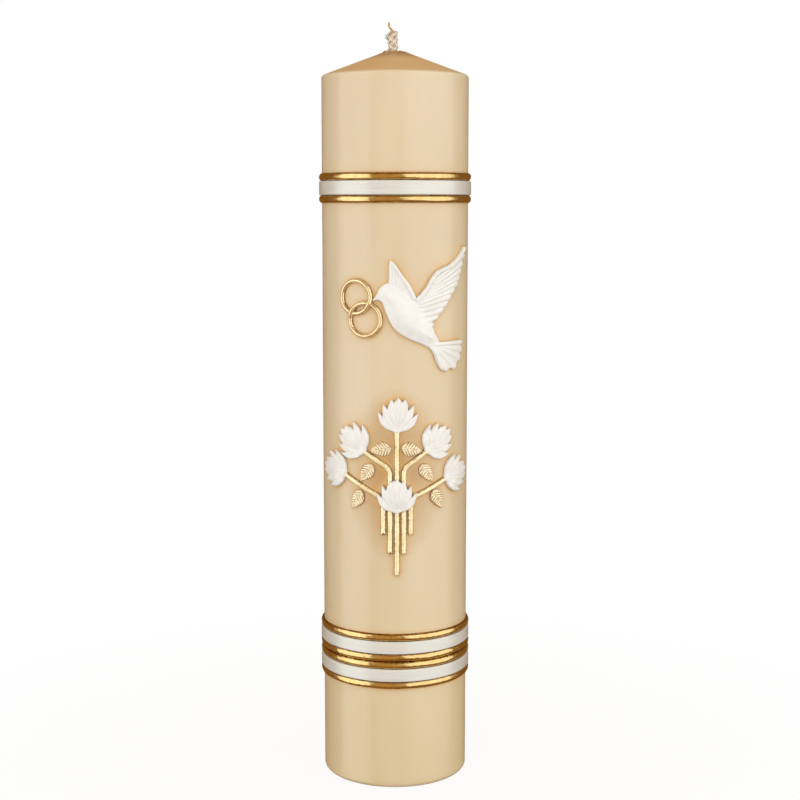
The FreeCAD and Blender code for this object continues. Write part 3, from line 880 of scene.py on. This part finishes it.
def build_leaf(node, offset, lean, seed):
    base = spray_foot + offset
    length, width, stand_off = 11.2, 7.8, 1.3
    rng = np.random.default_rng(seed)
    phase = rng.uniform(-0.25, 0.25)
    grain = waves(seed, 5, 4, 0.8)

    def parts(u, z):
        across, along = leaning(u, z, base, lean)
        along = along + 0.12 * across * math.sin(seed)
        share = np.clip(along / length, 0, 1)
        early = np.clip(1 - ((0.4 - share) / 0.4) ** 2, 0, 1) ** 0.6
        half = width / 2 * np.where(share < 0.4, early, 1 - (np.clip(share - 0.4, 0, 1) / 0.6) ** 1.4)
        teeth = (along - 0.6 * np.abs(across)) / 1.45 + phase
        saw = teeth - np.floor(teeth)
        half = half - 0.55 * (1 - saw) ** 1.3 * np.sin(math.pi * share)
        inside = np.minimum(half - np.abs(across), np.minimum(along + 0.05, length - along))
        return across, share, saw, inside * 0.85

    def height(u, z):
        across, share, saw, inside = parts(u, z)
        vein = np.abs(np.sin(math.pi * saw)) ** 0.55
        away = smooth((np.abs(across) - 0.35) / 0.5)
        rib = np.exp(-((across / 0.36) ** 2)) * (1 - 0.5 * share)
        plate = stand_off * 1.05 - 0.16 * np.abs(across)
        top = plate - 0.35 + 0.75 * vein * away + 0.7 * rib + 0.03 * grain(u - z)
        return top * (0.4 + 0.6 * quarter_round(inside + 0.05, 0.4))

    reach, step = 13, 0.12
    points, faces = relief(lambda u, z: parts(u, z)[3], height, base - reach, base + reach, step)
    make_piece(node.replace("leaf", "gold_leaf"), points, faces, LEAF_GOLD, "gold_wax", node)


# -------- rings and dove
# Runs of the dove's outline, in mm from the wing tip. It starts at the beak, and each
# run starts where the one before it ends.
DOVE_OUTLINE = [
    [(-52.6, -23.6), (-51.0, -20.4), (-48.9, -18.5), (-46.0, -17.3)],
    [(-46.4, -13.5), (-46.3, -9.0), (-45.3, -6.3), (-43.6, -8.4)],
    [(-39.5, -14.6), (-36.0, -19.0), (-32.9, -25.4)],
    [(-30.2, -23.4), (-26.6, -18.6), (-21.5, -11.9), (-13.4, -8.6), (-6.6, -4.6), (-1, 0)],
    [(0.2, -2.0), (-2.8, -7.6), (-5.6, -17.3), (-12.6, -26.6), (-15.8, -30.8), (-24.0, -38.5)],
    [(-22.6, -43.0), (-19.3, -47.3)],
    [(-10.5, -47.1), (-3.6, -48.0), (-3.7, -53.2), (-5.6, -58.4)],
    [(-9.6, -61.9), (-14.3, -62.5)],
    [(-17.8, -62.6), (-20.9, -59.2), (-24.3, -52.0), (-29.0, -48.9)],
    [(-37.3, -45.3), (-44.0, -40.4), (-47.6, -33.0), (-49.6, -27.5)],
    [(-51.6, -26.3), (-54.9, -26.6)],
]
TRAILING_RUNS = (4, 6, 7)  # feather tips of the near wing and of the tail
DOVE_BODY = [
    (-51.3, -22.7), (-46.8, -20.8), (-39.3, -26.3), (-31.3, -33.8), (-24.8, -42.3),
    (-23.8, -46.8), (-30.3, -46.5), (-38.8, -42.8), (-44.8, -37.3), (-48.3, -28.8),
]
# Feathers from root to tip, with half widths at both ends and the crest's height.
FEATHERS = [
    # near wing, from the lowest feather up to the leading edge
    ([(-28.5, -41.2), (-23.6, -38.6)], 0.8, 0.9, 1.75),
    ([(-28.8, -37.6), (-22.0, -35.3)], 0.8, 1.05, 1.8),
    ([(-29.8, -34.3), (-24.0, -33.2), (-19.2, -31.6)], 0.8, 1.2, 1.85),
    ([(-31.3, -32.0), (-24.0, -30.4), (-16.6, -28.6)], 0.8, 1.3, 1.85),
    ([(-31.3, -29.7), (-23.0, -27.4), (-14.2, -25.2)], 0.8, 1.35, 1.85),
    ([(-30.3, -27.8), (-22.3, -25.0), (-11.3, -21.9)], 0.8, 1.4, 1.85),
    ([(-28.8, -25.9), (-20.6, -22.6), (-9.0, -18.7)], 0.8, 1.45, 1.85),
    ([(-27.0, -24.0), (-19.0, -20.2), (-7.2, -15.6)], 0.8, 1.45, 1.9),
    ([(-25.8, -22.2), (-18.2, -18.0), (-5.6, -12.3)], 0.8, 1.4, 1.9),
    ([(-25.0, -20.0), (-17.8, -15.6), (-3.8, -8.6)], 0.8, 1.35, 1.95),
    ([(-24.0, -17.3), (-16.8, -12.9), (-1.8, -4.6)], 0.8, 1.2, 1.95),
    # leading edge of the near wing
    ([
        (-32.2, -26.0), (-27.6, -21.2), (-24.2, -16.0), (-20.8, -12.4), (-13.2, -9.6), (-6.8, -6.0),
        (-0.6, -0.9),
    ], 1.0, 0.9, 2.25),
    # far wing
    ([(-45.6, -17.2), (-45.5, -7.2)], 0.9, 0.7, 1.9),
    ([(-43.9, -18.0), (-44.2, -8.6)], 0.8, 0.6, 1.7),
    ([(-42.5, -19.0), (-42.7, -10.4)], 0.8, 0.6, 1.65),
    ([(-41.0, -20.5), (-41.2, -12.4)], 0.8, 0.6, 1.65),
    ([(-39.3, -22.2), (-39.7, -14.9)], 0.9, 0.7, 1.6),
    ([(-33.9, -25.0), (-37.3, -18.2), (-40.7, -13.3), (-44.3, -7.8)], 1.2, 0.8, 2.1),
    # tail, from the upper edge round to the lower one
    ([(-21.5, -48.8), (-4.2, -48.7)], 1.0, 1.2, 2.0),
    ([(-20.5, -50.0), (-4.0, -52.4)], 0.9, 1.8, 1.75),
    ([(-20.3, -51.0), (-5.4, -56.6)], 0.9, 1.8, 1.75),
    ([(-21.0, -51.8), (-9.8, -60.6)], 0.9, 1.9, 1.75),
    ([(-22.2, -51.8), (-15.6, -61.6)], 0.8, 1.6, 1.8),
    ([(-23.4, -51.0), (-18.6, -61.0)], 0.8, 1.0, 1.95),
]


def build_dove():
    before = DOVE_OUTLINE[-1:] + DOVE_OUTLINE
    runs = [curve_through([a[-1], *b], 6) + wing_tip for a, b in zip(before, DOVE_OUTLINE)]
    outline = np.vstack([run[:-1] for run in runs])
    body = curve_through([DOVE_BODY[-1], *DOVE_BODY, *DOVE_BODY[:2]], 6)[6:-6] + wing_tip
    feathers = [(curve_through(points, 5) + wing_tip, *sizes) for points, *sizes in FEATHERS]
    grain = waves(400, 5, 5, 0.9)

    def feathered(u, z):
        depth = inside_distance(u, z, outline)
        tips = np.full(u.shape, 9.0)
        for k in TRAILING_RUNS:
            tips = np.minimum(tips, nearest_on_line(u, z, runs[k])[0])
        edge = depth - 0.75 * (1 - smooth(tips / 2.2))
        top = np.where(edge > -0.05, 1.25, -9)
        for line, start, end, crest in feathers:
            distance, share = nearest_on_line(u, z, line)
            width = start + (end - start) * share
            inside = np.minimum(width - distance, depth + 0.45)
            bulge = np.sqrt(np.clip(1 - (distance / width) ** 2, 0, 1))
            root = 0.55 + 0.45 * smooth(share / 0.25)
            fading = 0.45 + 0.55 * smooth((1 - share) / 0.35)
            feather = crest - 0.66 * (1 - bulge * root) * fading
            top = np.maximum(top, np.where(inside > -0.05, feather, -9))
            edge = np.maximum(edge, inside)
        return edge, top

    def height(u, z):
        edge, top = feathered(u, z)
        depth = inside_distance(u, z, body)
        dome = 1.35 + 1.85 * smooth((depth + 3.2) / 8.5)
        dome = np.where(depth > -4.5, dome, 0) * smooth((depth + 4.5) / 2.5)
        top = soft_max(top, dome, 0.5)
        rounded = quarter_round(edge + 0.08, 0.95)
        return top * (0.35 + 0.65 * rounded) + 0.025 * grain(u + 0.6 * z)

    margin, step = 1.5, 0.2
    low, high = outline.min(axis=0) - margin, outline.max(axis=0) + margin
    points, faces = relief(lambda u, z: feathered(u, z)[0], height, low, high, step)
    make_piece("dove_relief", points, faces, PEARL, "pearl_white_wax", "dove")


def build_rings():
    """Two linked rings: each lies on the wax and is lifted where it passes over the other."""
    outer, wire, stand_off, lifted = 9.5, 2.4, 1.7, 0.75
    beak_overlap, beak_lift, step_to_lower = 0.4, 1.7, (5.2, -11.3)
    beak = wing_tip + DOVE_OUTLINE[-1][-1]
    upper = beak + (beak_overlap - outer, beak_lift)
    # each ring's centre, and the place where it passes over the other
    rings = {
        "ring_upper": (upper, wing_tip + (-57.3, -28.3)),
        "ring_lower": (upper + step_to_lower, wing_tip + (-66.3, -32.6)),
    }
    for number, (name, (centre, over)) in enumerate(rings.items()):
        segments, sides = 220, 13
        turns = np.linspace(0, 2 * math.pi, segments, endpoint=False)
        towards = math.atan2(over[1] - centre[1], over[0] - centre[0])
        away = np.abs((turns - towards + math.pi) % (2 * math.pi) - math.pi) * (outer - wire / 2)
        lift = lifted * (1 - smooth((away - 1.0) / 3.0))
        wobble = ring_waves(200 + number, 2, 7, 4)
        grain = ring_waves(210 + number, 12, 46, 9)
        section = np.linspace(0, math.pi, sides)
        rows = []
        for turn, raised, w, g in zip(turns, lift, wobble(turns), grain(turns)):
            radius = outer - wire / 2 + 0.1 * w
            s = np.cos(section) * (wire / 2) * (1 + 0.015 * g)
            out = raised + stand_off * np.sin(section) * (1 + 0.015 * g)
            radii = np.concatenate([radius + s, [radius - wire * 0.42, radius + wire * 0.42]])
            heights = np.concatenate([out, [-SUNK, -SUNK]])
            rows.append(np.column_stack([
                centre[0] + radii * math.cos(turn), centre[1] + radii * math.sin(turn), heights,
            ]))
        faces = grid_faces(segments, sides + 2, close_rows=True, close_columns=True)
        faces = [face[::-1] for face in faces]
        points = on_wax(*np.vstack(rows).T)
        make_piece("wedding_" + name, points, faces, RING_GOLD, "gold_wax", "wedding_rings")


# -------- the candle
build_pillar()
build_wick()
build_trim()
build_stems()
for number, (node, (offset, lean)) in enumerate(FLOWERS.items()):
    thickness = 3.4 if node == "flower_bottom" else 2.5
    build_flower(node, offset, lean, thickness, 300 + number)
for number, (node, (offset, lean)) in enumerate(LEAVES.items()):
    build_leaf(node, offset, lean, 350 + number)
build_rings()
build_dove()


# -------- floor, light and the camera
def build_floor():
    """Pale floor that turns into plain white away from the candle."""
    under_candle = (0, 0, -0.0002)
    bpy.ops.mesh.primitive_circle_add(vertices=96, radius=0.6, fill_type="NGON", location=under_candle)
    floor = bpy.context.object
    floor.name = "floor"
    look = Nodes(bpy.data.materials.new("floor_white"))
    shader = look.tree.nodes["Principled BSDF"]
    look.fill(shader, {"Base Color": (0.86, 0.86, 0.86, 1), "Roughness": 0.9, "Specular IOR Level": 0.0})
    share = look.span(look.length(look.place()), 0.05, 0.35, 0.9, 1.0)
    glow = look.add("Emission", "Emission", {"Color": (1, 1, 1, 1), "Strength": 1.0})
    mixed = look.add("MixShader", "Shader", {0: share, 1: shader.outputs["BSDF"], 2: glow})
    look.fill(look.tree.nodes["Material Output"], {"Surface": mixed})
    floor.data.materials.append(look.owner)
    floor.visible_diffuse = False
    floor.visible_glossy = False
    floor.visible_shadow = False


def softbox(name, azimuth, distance, height, width, tall, power, colour, in_gloss=True):
    """Rectangular light that faces the candle; azimuth 0 is the camera's side."""
    angle = math.radians(azimuth)
    light = bpy.data.lights.new(name, "AREA")
    light.shape = "RECTANGLE"
    light.size = width
    light.size_y = tall
    light.energy = power
    light.color = colour
    lamp = bpy.data.objects.new(name, light)
    bpy.context.scene.collection.objects.link(lamp)
    lamp.location = (distance * math.sin(angle), -distance * math.cos(angle), height)
    middle_of_candle = Vector((0, 0, 0.2))
    aim = middle_of_candle - lamp.location
    lamp.rotation_mode = "QUATERNION"
    lamp.rotation_quaternion = aim.to_track_quat("-Z", "Y")
    lamp.visible_camera = False
    lamp.visible_glossy = in_gloss


WHITE = (0.94, 1.0, 1.02)
IVORY = (1.0, 0.99, 0.98)
WARM = (1.0, 0.70, 0.32)
AMBER = (1.0, 0.88, 0.66)


def build_light():
    """Softboxes and fills, in a warm room that the camera sees as white."""
    softbox("softbox_left", -68, 1.5, 0.30, 1.6, 2.4, 13.5, WHITE)
    softbox("softbox_right", 57, 1.5, 0.42, 2.8, 2.4, 20.3, WHITE)
    softbox("side_fill_left", -84, 1.6, 0.3, 1.6, 2.4, 7.0, AMBER, in_gloss=False)
    softbox("side_fill_right", 82, 1.6, 0.4, 1.6, 2.4, 10.5, AMBER, in_gloss=False)
    softbox("top_fill", 0, 0.9, 1.7, 1.2, 1.2, 9.0, AMBER, in_gloss=False)
    softbox("front_fill", -5, 1.6, 0.26, 1.2, 2.0, 15.0, IVORY, in_gloss=False)
    softbox("front_gap", -12, 1.5, 0.25, 1.1, 2.4, 1.8, WARM)
    softbox("back_left", -158, 1.6, 0.35, 1.4, 2.4, 14.0, IVORY, in_gloss=False)
    softbox("back_right", 158, 1.6, 0.35, 1.4, 2.4, 14.0, IVORY, in_gloss=False)
    world = bpy.data.worlds.new("studio")
    bpy.context.scene.world = world
    sky = Nodes(world)
    warm = sky.tree.nodes["Background"]
    sky.fill(warm, {"Color": (0.2, 0.095, 0.02, 1), "Strength": 1.0})
    white = sky.add("Background", "Background", {"Color": (1, 1, 1, 1)})
    seen = sky.add("LightPath", "Is Camera Ray", {})
    mixed = sky.add("MixShader", "Shader", {0: seen, 1: warm.outputs["Background"], 2: white})
    sky.fill(sky.tree.nodes["World Output"], {"Surface": mixed})


def build_camera():
    camera = bpy.data.cameras.new("camera")
    camera.sensor_width = 36.0
    camera.lens = 69.07
    camera.shift_x = 0.0062
    camera.clip_start = 0.02
    camera.clip_end = 50.0
    eye = bpy.data.objects.new("camera", camera)
    bpy.context.scene.collection.objects.link(eye)
    distance, height, tilt = 0.8081, 0.3025, 7.244
    eye.location = (0.0, -distance, height)
    eye.rotation_euler = (math.radians(90 - tilt), 0.0, 0.0)
    bpy.context.scene.camera = eye


build_floor()
build_light()
build_camera()
bpy.context.scene.view_settings.view_transform = "Standard"
